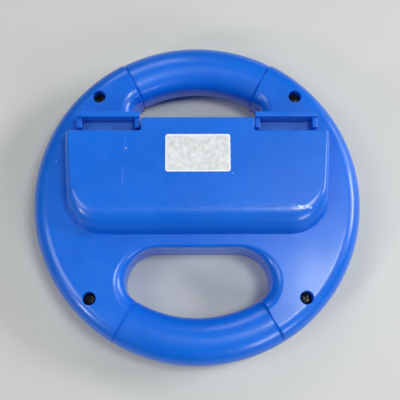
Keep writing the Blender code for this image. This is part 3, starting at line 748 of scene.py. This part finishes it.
def grip_pad(name, node):
    """A rubber strip with upright ridges on its free face."""
    low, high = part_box(node)
    samples = 8 * PAD_RIDGES
    points = [Vector((low.x, low.y)), Vector((high.x, low.y))]
    for i in range(samples + 1):
        share = i / samples
        wave = (1 - cos(2 * pi * PAD_RIDGES * share)) / 2
        x = high.x + (low.x - high.x) * share
        points.append(Vector((x, high.y - PAD_RIDGE_HEIGHT * (1 - wave))))
    return rounded_prism(name, points, (low.z, high.z))


# ---- Triggers


def trigger_cap(side, word):
    """The part that a finger presses: a tray open to the back, with a tall pad and a stem."""
    small = 0.35 * MM
    corners = (small, small, 1.6 * MM, 0.8 * MM)
    pad_points = plan_box(side, CAP_X, (CAP_PAD_Y, CAP_Y[1]), corners, steps=8)
    cap = rounded_prism(f"{word}_cap", pad_points, CAP_Z, 0.3 * MM, 0.34 * MM)
    floor_x = widened(CAP_X, -0.05 * MM)
    y_range = (CAP_Y[0], CAP_PAD_Y + 0.8 * MM)
    floor_z = (CAP_Z[0], CAP_FLOOR_Z)
    rib_z = (CAP_Z[0], CAP_RIB_Z)
    stem_z = (ARM_PLATE_Z[1] + GAP, CAP_Z[0] + 0.5 * MM)
    tools = [block(f"{word}_floor", side, floor_x, y_range, floor_z, small, 0.2 * MM)]
    ends = ((CAP_X[0], CAP_X[0] + CAP_RIB), (CAP_X[1] - CAP_RIB, CAP_X[1]))
    for i, x_range in enumerate(ends):
        tools.append(block(f"{word}_rib_{i}", side, x_range, y_range, rib_z, 0.4 * MM, 0.3 * MM))
    tools.append(block(f"{word}_stem", side, STEM_X, STEM_Y, stem_z, 0.3 * MM))
    return join(cap, *tools)


def trigger_arm(side, word):
    """The arm screwed under the cap: it keeps the cap in, holds the springs and carries the nose."""
    edge = 0.25 * MM
    plate_x = (ARM_LOW.x, ARM_HIGH.x)
    arm = block(f"{word}_arm", side, plate_x, ARM_PLATE_Y, ARM_PLATE_Z, 0.6 * MM, edge)
    top = ARM_PLATE_Z[0] + 0.5 * MM
    legs = [
        block(f"{word}_inner_leg", side, INNER_LEG_X, STEM_Y, (NOSE_Z[0], top), 0.4 * MM, edge),
        block(f"{word}_outer_leg", side, OUTER_LEG_X, STEM_Y, (OUTER_LEG_Z, top), 0.4 * MM, edge),
        block(f"{word}_nose", side, NOSE_X, (ARM_LOW.y, STEM_Y[0] + MM), NOSE_Z, 0.5 * MM, edge),
    ]
    join(arm, *legs)
    for place in SPRING_X:
        cut(arm, spring_pocket(side, word, place))
    hole_radius = 1.0 * MM
    profile = [(hole_radius, ARM_PLATE_Z[0] - MM), (hole_radius, ARM_PLATE_Z[1] + MM)]
    centre = (side * TRIGGER_SCREW[0], TRIGGER_SCREW[1])
    return cut(arm, turned(f"{word}_arm_hole", centre, profile, steps=24))


def spring_pocket(side, word, place):
    """A blind round pocket along Y in the arm's leg."""
    rings = []
    for y in (STEM_Y[0] - MM, SPRING_POCKET_Y):
        ring = circle_points(SPRING_POCKET_RADIUS, 24, (side * SPRING_X[place], SPRING_Z))
        rings.append([Vector((p.x, y, p.y)) for p in ring])
    return loft(f"{word}_{place}_pocket", rings)


def trigger_spring(side, word, place):
    """Round wire along a helix, with both ends closed up."""
    per_turn, sides = 28, 10
    wire = SPRING_WIRE / 2
    count = SPRING_TURNS * per_turn
    centre = Vector((side * SPRING_X[place], 0, SPRING_Z))
    low, high = SPRING_Y[0] + wire, SPRING_Y[1] - wire
    rings = []
    for i in range(count + 1):
        share = i / count
        # The end turns lie flat, so the pitch comes and goes along the spring.
        rise = share - SPRING_CLOSED_ENDS * sin(2 * pi * share) / (2 * pi)
        turn = 2 * pi * i / per_turn
        out = Vector((cos(turn), 0, sin(turn)))
        middle = centre + out * SPRING_RADIUS + Vector((0, low + (high - low) * rise, 0))
        ring = [middle + (out * cos(a) + Vector((0, 1, 0)) * sin(a)) * wire
                for a in (2 * pi * k / sides for k in range(sides))]
        rings.append(ring)
    return loft(f"{word}_spring_{place}", rings)


# ---- Screws and label


def screw(centre, head_z, up, sizes):
    """A pan-head screw with ridges for a thread and a cross recess. up is +1 if its head looks up."""
    head_radius, head_height, shank_radius, length = sizes
    pitch = 0.8 * shank_radius
    z = -length + 1.4 * shank_radius
    profile = [(0.2 * shank_radius, -length), (0.85 * shank_radius, z)]
    while z < -1.5 * pitch:
        profile += [(shank_radius, z + 0.35 * pitch), (0.78 * shank_radius, z + 0.7 * pitch)]
        z += pitch
    bevel = 0.1 * MM
    profile += [(0.85 * shank_radius, -0.15 * pitch), (head_radius - bevel, 0.0), (head_radius, bevel)]
    for share in (0.0, 0.2, 0.4, 0.6, 0.8, 1.0):
        turn = pi / 2 * share
        across = head_radius * (0.45 + 0.55 * cos(turn))
        profile.append((across, head_height * (0.45 + 0.55 * sin(turn))))
    profile = [(radius, head_z + up * height) for radius, height in profile]
    body = turned("screw", centre, profile[::up], steps=40)
    top = head_z + up * head_height
    along, across = 0.6 * head_radius, 0.13 * head_radius
    # The recess narrows downwards, as (share of its full size, z)
    ends = ((0.45, top - up * 0.75 * head_height), (1.0, top + up * 0.05 * head_height))
    for i in range(2):
        rings = []
        for share, z in ends:
            half = (along * share, across * (0.6 + 0.4 * share))
            x, y = half if i == 0 else reversed(half)
            corners = ((-x, -y), (x, -y), (x, y), (-x, y))
            rings.append([Vector((centre[0] + a, centre[1] + b, z)) for a, b in corners])
        cut(body, loft(f"recess_{i}", rings))
    return body


def price_label(node):
    """A blank paper label: rounded corners, an edge that isn't quite straight, one nick."""
    low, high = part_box(node)
    points = plan_box(1, (low.x, high.x), (low.y, high.y), LABEL_CORNER, steps=8)
    fine = []
    for i, point in enumerate(points):
        following = points[(i + 1) % len(points)]
        pieces = max(1, round((following - point).length / LABEL_STEP))
        for k in range(pieces):
            fine.append(point.lerp(following, k / pieces))
    centre = Vector(((low.x + high.x) / 2, (low.y + high.y) / 2))
    rough = []
    for i, point in enumerate(fine):
        wander = LABEL_WANDER * (sin(i * 1.7) + sin(i * 0.61 + 2))
        on_right = point.x > high.x - 0.01 * MM
        nick = LABEL_NICK * max(0, sin((point.y - low.y) / MM * 2.4)) ** 8 if on_right else 0
        rough.append(point + (centre - point).normalized() * (wander + nick))
    z = BOX_Z + LABEL_LIFT
    return rounded_prism("label", rough, (z, z + LABEL_THICKNESS))


# ---- Materials


class Paint:
    """Builds one material's nodes. Points are in the row frame, in millimetres."""

    def __init__(self, name, roughness, metallic=0.0):
        self.material = bpy.data.materials.new(name)
        self.material.use_nodes = True
        self.tree = self.material.node_tree
        self.shader = self.tree.nodes["Principled BSDF"]
        self.shader.inputs["Metallic"].default_value = metallic
        self.shader.inputs["Roughness"].default_value = roughness
        place = self.tree.nodes.new("ShaderNodeTexCoord").outputs["Object"]
        self.place = self.vector("SCALE", place, scale=1 / MM)
        split = self.tree.nodes.new("ShaderNodeSeparateXYZ")
        self.tree.links.new(self.place, split.inputs[0])
        self.x, self.y, self.z = split.outputs

    def connect(self, value, socket):
        if isinstance(value, bpy.types.NodeSocket):
            self.tree.links.new(value, socket)
        else:
            socket.default_value = value

    def operation(self, kind, operation, values):
        node = self.tree.nodes.new(kind)
        node.operation = operation
        for value, socket in zip(values, node.inputs):
            self.connect(value, socket)
        return node

    def vector(self, operation, *values, scale=None):
        node = self.operation("ShaderNodeVectorMath", operation, values)
        if scale is not None:
            node.inputs["Scale"].default_value = scale
        return node.outputs["Value" if operation in ("LENGTH", "DISTANCE") else "Vector"]

    def math(self, operation, *values, clamp=False):
        node = self.operation("ShaderNodeMath", operation, values)
        node.use_clamp = clamp
        return node.outputs[0]

    def times(self, *values):
        result = values[0]
        for value in values[1:]:
            result = self.math("MULTIPLY", result, value)
        return result

    def ramp(self, value, start, end, low=0.0, high=1.0):
        """A smooth step from low at start to high at end."""
        node = self.tree.nodes.new("ShaderNodeMapRange")
        node.interpolation_type = "SMOOTHSTEP"
        self.connect(value, node.inputs["Value"])
        for socket, number in zip(("From Min", "From Max", "To Min", "To Max"), (start, end, low, high)):
            self.connect(number, node.inputs[socket])
        return node.outputs["Result"]

    def band(self, value, centre, half, soft):
        """One within half of centre, falling to zero over soft."""
        away = self.math("ABSOLUTE", self.math("SUBTRACT", value, centre))
        return self.ramp(away, half, half + soft, 1.0, 0.0)

    def noise(self, size, detail=2.0, stretch=(1, 1, 1), roughness=0.5):
        """Noise from 0 to 1 whose lumps are about size millimetres."""
        node = self.tree.nodes.new("ShaderNodeTexNoise")
        scale = Vector(1 / (size * longer) for longer in stretch)
        self.tree.links.new(self.vector("MULTIPLY", self.place, tuple(scale)), node.inputs["Vector"])
        node.inputs["Scale"].default_value = 1
        node.inputs["Detail"].default_value = detail
        node.inputs["Roughness"].default_value = roughness
        return node.outputs["Fac"]

    def mix(self, share, first, second):
        node = self.tree.nodes.new("ShaderNodeMix")
        node.data_type = "RGBA"
        colours = [socket for socket in node.inputs if socket.type == "RGBA"]
        self.connect(share, node.inputs["Factor"])
        for socket, colour in zip(colours, (first, second)):
            self.connect((*colour, 1) if isinstance(colour, tuple) else colour, socket)
        return next(socket for socket in node.outputs if socket.type == "RGBA")

    def dot(self, point, radius, soft):
        """One in a small ball round a point, falling to zero over soft."""
        return self.ramp(self.vector("DISTANCE", self.place, point), radius, radius + soft, 1.0, 0.0)

    def bump(self, height, distance):
        """Raises the surface by height times distance, in millimetres."""
        node = self.tree.nodes.new("ShaderNodeBump")
        node.inputs["Strength"].default_value = 1.0
        node.inputs["Distance"].default_value = distance * MM
        self.connect(height, node.inputs["Height"])
        self.tree.links.new(node.outputs["Normal"], self.shader.inputs["Normal"])

    def set(self, **sockets):
        for name, value in sockets.items():
            self.connect(value, self.shader.inputs[name.replace("_", " ").title()])
        return self.material


BLUE = (0.001, 0.134, 0.72)
BLUE_DEEP = (0.0006, 0.121, 0.67)
BLUE_WORN = (0.13, 0.28, 0.85)
DUST = (0.62, 0.66, 0.75)
WINDOW_BLUES = ((0.006, 0.11, 0.54), (0.018, 0.14, 0.6))
DARK_GREYS = ((0.026, 0.028, 0.032), (0.036, 0.038, 0.042))
SCREW_STEELS = ((0.025, 0.026, 0.03), (0.07, 0.07, 0.075))
SPRING_STEELS = ((0.5, 0.5, 0.52), (0.62, 0.61, 0.6))
RUBBER_GREYS = ((0.05, 0.05, 0.055), (0.075, 0.075, 0.078))
LABEL_GREYS = ((0.56, 0.58, 0.62), (0.74, 0.76, 0.79))
LABEL_COOL = (0.66, 0.68, 0.78)
LABEL_WARM = (0.74, 0.73, 0.68)
LABEL_EDGE = (0.86, 0.88, 0.92)
FLOOR_GREYS = ((0.56, 0.56, 0.565), (0.59, 0.59, 0.595))

# Marks on the rear cover, in mm
BOX_TOP_STARTS, BOX_TOP_FULL = 27.2, 27.45
SCRATCH_MIDDLE_Y, SCRATCH_HALF_LENGTH = 8, 13
SCUFF_MIDDLE_X, SCUFF_HALF_LENGTH = 2, 38
EDGE_Y = -5.9
DIRT_X = 36.5
# Each speck of dust as (place, radius)
SPECKS = (((-25.4, 15.6, 27.5), 0.14), ((-51.6, 13.4, 19), 0.12), ((12.4, 6.4, 27.5), 0.1))
SPECK_SOFTNESS = 0.12


def blue_base(name):
    """Blue moulded plastic: colour that drifts a little, a faint grain and a thin gloss over it."""
    paint = Paint(name, 0.3)
    drift = paint.ramp(paint.noise(22, 3), 0.35, 0.65)
    colour = paint.mix(drift, BLUE_DEEP, BLUE)
    roughness = paint.ramp(paint.noise(6, 4), 0.3, 0.7, 0.31, 0.38)
    paint.bump(paint.noise(0.6, 2), 0.0022)
    paint.shader.inputs["IOR"].default_value = 1.45
    paint.shader.inputs["Coat Weight"].default_value = 0.3
    paint.shader.inputs["Coat Roughness"].default_value = 0.12
    return paint, colour, roughness


def plain_blue(name):
    paint, colour, roughness = blue_base(name)
    return paint.set(base_color=colour, roughness=roughness)


def long_scratch(paint, top):
    """A broken line that leans a little, down the left of the box's top."""
    lean = paint.math("MULTIPLY_ADD", paint.y, 0.055, -26.8)
    patchy = paint.ramp(paint.noise(2.5, 3, (0.4, 2.5, 1)), 0.42, 0.6)
    length = paint.band(paint.y, SCRATCH_MIDDLE_Y, SCRATCH_HALF_LENGTH, 5)
    return paint.times(paint.band(paint.x, lean, 0.04, 0.16), top, length, patchy, 0.4)


def edge_scuffs(paint):
    """Streaks along the box's lower edge, stronger towards the right."""
    line = paint.math("MULTIPLY_ADD", paint.x, 0.012, EDGE_Y)
    edge = paint.band(paint.y, line, 0.5, 1.3)
    streaks = paint.ramp(paint.noise(1.1, 4, (3, 0.4, 1)), 0.52, 0.68)
    towards_right = paint.ramp(paint.x, -38, 36, 0.12, 0.55)
    length = paint.band(paint.x, SCUFF_MIDDLE_X, SCUFF_HALF_LENGTH, 4)
    return paint.times(edge, streaks, towards_right, length)


def dirt_and_dust(paint):
    """Dirt caught at the right end of that edge, and a few single specks of dust."""
    area = paint.times(paint.band(paint.x, DIRT_X, 2.2, 2), paint.band(paint.y, EDGE_Y, 0.35, 0.6))
    specks = paint.times(area, paint.ramp(paint.noise(0.7, 3), 0.45, 0.6), 0.9)
    for point, radius in SPECKS:
        specks = paint.math("MAXIMUM", specks, paint.dot(point, radius, SPECK_SOFTNESS))
    return specks


def worn_blue(name):
    """The rear cover's plastic: the base, with a long scratch, rubbed edges and specks of dirt."""
    paint, colour, roughness = blue_base(name)
    top = paint.ramp(paint.z, BOX_TOP_STARTS, BOX_TOP_FULL)
    fine = paint.times(top, paint.ramp(paint.noise(1.6, 5, (0.25, 5, 1)), 0.66, 0.74), 0.1)
    marks = paint.math("MAXIMUM", long_scratch(paint, top), edge_scuffs(paint))
    wear = paint.math("ADD", marks, fine, clamp=True)
    specks = dirt_and_dust(paint)
    colour = paint.mix(specks, paint.mix(wear, colour, BLUE_WORN), DUST)
    rubbed = paint.math("MULTIPLY_ADD", paint.math("MAXIMUM", wear, specks), 0.3, roughness)
    return paint.set(base_color=colour, roughness=rubbed)


def window_blue(name):
    """The trigger's floor: a rougher and duller blue, with a few specks of dust."""
    paint = Paint(name, 0.55)
    colour = paint.mix(paint.ramp(paint.noise(1.5, 4), 0.3, 0.7), *WINDOW_BLUES)
    specks = paint.ramp(paint.noise(0.5, 2), 0.72, 0.76)
    paint.bump(paint.noise(0.3, 3), 0.02)
    return paint.set(base_color=paint.mix(specks, colour, DUST))


def dark_plastic(name):
    paint = Paint(name, 0.5)
    colour = paint.mix(paint.noise(14, 3), *DARK_GREYS)
    paint.bump(paint.noise(0.25, 3), 0.02)
    return paint.set(base_color=colour, roughness=paint.ramp(paint.noise(5, 3), 0.3, 0.7, 0.44, 0.58))


def screw_steel(name):
    paint = Paint(name, 0.34, metallic=1.0)
    colour = paint.mix(paint.ramp(paint.noise(0.8, 4), 0.4, 0.65), *SCREW_STEELS)
    paint.bump(paint.noise(0.12, 3), 0.01)
    return paint.set(base_color=colour, roughness=paint.ramp(paint.noise(0.5, 3), 0.3, 0.7, 0.32, 0.5))


def spring_steel(name):
    paint = Paint(name, 0.25, metallic=1.0)
    colour = paint.mix(paint.noise(0.6, 3), *SPRING_STEELS)
    paint.bump(paint.noise(0.08, 2, (1, 1, 6)), 0.004)
    return paint.set(base_color=colour)


def rubber(name):
    paint = Paint(name, 0.8)
    colour = paint.mix(paint.noise(2.0, 4), *RUBBER_GREYS)
    paint.bump(paint.noise(0.2, 4), 0.03)
    return paint.set(base_color=colour)


def inside(paint, value, middle, half):
    """How far value is within half of middle."""
    away = paint.math("ABSOLUTE", paint.math("SUBTRACT", value, middle))
    return paint.math("SUBTRACT", half, away)


def label_paper(name):
    """Old label paper: mottled, smudged, and cleaner along its edges."""
    paint = Paint(name, 0.68)
    low, high = (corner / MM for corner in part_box("price_label"))
    middle = (low + high) / 2
    half = (high - low) / 2
    to_side = inside(paint, paint.x, middle.x, half.x)
    to_end = inside(paint, paint.y, middle.y, half.y)
    border = paint.ramp(paint.math("MINIMUM", to_side, to_end), 0.2, 0.75, 1.0, 0.0)
    mottle = paint.ramp(paint.noise(1.7, 5, roughness=0.65), 0.36, 0.66)
    colour = paint.mix(mottle, *LABEL_GREYS)
    tint = paint.ramp(paint.noise(3.2, 3), 0.5, 0.72)
    colour = paint.mix(paint.times(tint, 0.5), colour, LABEL_COOL)
    warm = paint.ramp(paint.noise(4.3, 3, (1.2, 0.8, 1)), 0.56, 0.74)
    colour = paint.mix(paint.times(warm, 0.5), colour, LABEL_WARM)
    colour = paint.mix(paint.times(border, 0.9), colour, LABEL_EDGE)
    paint.bump(paint.noise(0.3, 4), 0.02)
    return paint.set(base_color=colour)


# ---- Stage, light and camera


FLOOR_SIZE = 1.2
FLOOR_Z = -0.05 * MM
LIGHT_DISTANCE = 0.9
WHITE = (1.0, 1.0, 1.0)
# Name, azimuth, elevation, (width, height), power, colour. A fit to the photo's colours gave the first
# places and powers, which were then changed.
LIGHTS = (
    ("ceiling", 0, 73, (0.22, 0.22), 2.9, (0.93, 1.0, 0.86)),
    ("window_right", 12, 31, (0.3, 0.2), 3.9, WHITE),
    ("low_right", 30, 17, (0.34, 0.16), 1.15, (0.92, 0.97, 1.0)),
    ("front", 305, 32, (0.3, 0.2), 1.7, WHITE),
    ("left", 190, 56, (0.34, 0.34), 1.75, WHITE),
    ("window_left", 215, 32, (0.08, 0.1), 1.15, WHITE),
    ("back", 105, 42, (0.3, 0.3), 1.0, WHITE),
)
WORLD_COLOUR = (0.86, 0.9, 1.0, 1)
WORLD_STRENGTH = 0.05


def floor():
    """A plain pale sheet, just under the wheel."""
    place = (0, 0, FLOOR_Z)
    bpy.ops.mesh.primitive_grid_add(x_subdivisions=8, y_subdivisions=8, size=FLOOR_SIZE, location=place)
    made = bpy.context.object
    made.name = "floor"
    paint = Paint("floor_paint", 0.6)
    colour = paint.mix(paint.noise(60, 3), *FLOOR_GREYS)
    paint.bump(paint.noise(0.8, 3), 0.01)
    made.data.materials.append(paint.set(base_color=colour))


def from_angles(distance, azimuth, elevation):
    """A place at a distance from the origin. Azimuth is counted from +X towards +Y."""
    azimuth, elevation = radians(azimuth), radians(elevation)
    flat = distance * cos(elevation)
    return Vector((flat * cos(azimuth), flat * sin(azimuth), distance * sin(elevation)))


def area_light(name, place, size, power, colour):
    """A soft light that looks at the origin."""
    data = bpy.data.lights.new(name, "AREA")
    data.shape = "RECTANGLE"
    data.size, data.size_y = size
    data.energy = power
    data.color = colour
    made = new_object(name, data)
    made.location = place
    made.rotation_euler = place.to_track_quat("Z", "Y").to_euler()


def lights():
    for name, azimuth, elevation, size, power, colour in LIGHTS:
        area_light(name, from_angles(LIGHT_DISTANCE, azimuth, elevation), size, power, colour)
    world = bpy.data.worlds.new("studio")
    world.use_nodes = True
    background = world.node_tree.nodes["Background"]
    background.inputs["Color"].default_value = WORLD_COLOUR
    background.inputs["Strength"].default_value = WORLD_STRENGTH
    bpy.context.scene.world = world
    # Standard keeps the plastic's saturated blue, which the default transform would wash out.
    bpy.context.scene.view_settings.view_transform = "Standard"


def camera():
    """Above the wheel's back, a little below its middle and almost straight down."""
    azimuth, elevation, roll = radians(-3.2), radians(76.7), radians(-0.32)
    distance, view_angle = 0.28, radians(29.97)
    target = Vector((0.98 * MM, 0.88 * MM, 9.5 * MM))
    away = Vector((sin(azimuth) * cos(elevation), -cos(azimuth) * cos(elevation), sin(elevation)))
    right = Vector((0, 1, 0)).cross(away).normalized()
    up = away.cross(right)
    data = bpy.data.cameras.new("camera")
    data.angle = view_angle
    data.clip_start = 0.01
    made = new_object("camera", data)
    turn = Matrix((right, up, away)).transposed().to_4x4() @ Matrix.Rotation(roll, 4, "Z")
    made.matrix_world = Matrix.Translation(target + away * distance) @ turn
    bpy.context.scene.camera = made


# ---- Assembly


def show(obj, name, node, body, material):
    """Makes obj the visible piece for a CAD node."""
    obj.name = name
    obj.data.materials.clear()
    obj.data.materials.append(material)
    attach(obj, body)
    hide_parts(node)
    return obj


def paint_window(cap):
    """Gives the second material to the large flat face between the cap's ribs."""
    least_area = 4 * MM * MM
    for face in cap.data.polygons:
        on_floor = abs(face.center.z - CAP_FLOOR_Z) < 0.05 * MM and face.center.y < CAP_PAD_Y
        if on_floor and face.area > least_area:
            face.material_index = 1


def triggers(materials):
    for word, side in SIDES.items():
        body = f"{word}_trigger"
        cap = smooth(trigger_cap(side, word))
        show(cap, f"{word}_trigger_button", f"{word}_trigger_cap", body, materials["blue"])
        cap.data.materials.append(materials["window"])
        paint_window(cap)
        arm = smooth(trigger_arm(side, word))
        show(arm, f"{word}_trigger_lever", f"{word}_trigger_arm", body, materials["dark"])
        centre = (side * TRIGGER_SCREW[0], TRIGGER_SCREW[1])
        node = f"{word}_trigger_screw"
        low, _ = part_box(node)
        head_height = TRIGGER_SCREW_SIZES[1]
        fixing = smooth(screw(centre, low.z + head_height, -1, TRIGGER_SCREW_SIZES))
        show(fixing, f"{word}_lever_screw", node, body, materials["screw"])
        for place in SPRING_X:
            spring = smooth(trigger_spring(side, word, place))
            node = f"{word}_trigger_spring_{place}"
            show(spring, f"{word}_{place}_spring", node, "wheel", materials["spring"])
            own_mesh(spring)


def wheel(materials):
    rear, front = smooth(rear_cover()), smooth(front_cover())
    show(rear, "rear_cover", "rear_shell", "wheel", materials["worn"])
    show(front, "front_cover", "front_shell", "wheel", materials["blue"])
    tray = smooth(controller_tray())
    show(tray, "tray_moulding", "controller_tray", "wheel", materials["dark"])
    for word in SIDES:
        pad = smooth(grip_pad("pad", f"{word}_grip_pad"))
        show(pad, f"{word}_rubber_strip", f"{word}_grip_pad", "wheel", materials["rubber"])
    for place, centre in CASE_SCREWS.items():
        node = f"case_screw_{place}"
        _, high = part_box(node)
        head_height = CASE_SCREW_SIZES[1]
        fixing = smooth(screw(centre, high.z - head_height, 1, CASE_SCREW_SIZES))
        show(fixing, f"{place}_screw", node, "wheel", materials["screw"])
    label = smooth(price_label("price_label"))
    show(label, "blank_label", "price_label", "wheel", materials["paper"])


def main():
    materials = {
        "blue": plain_blue("moulded_blue"),
        "worn": worn_blue("worn_moulded_blue"),
        "window": window_blue("window_blue"),
        "dark": dark_plastic("dark_plastic_grain"),
        "screw": screw_steel("dark_screw_steel"),
        "spring": spring_steel("drawn_spring_steel"),
        "rubber": rubber("soft_rubber_grain"),
        "paper": label_paper("label_paper_mottled"),
    }
    camera()
    lights()
    wheel(materials)
    triggers(materials)
    floor()


main()
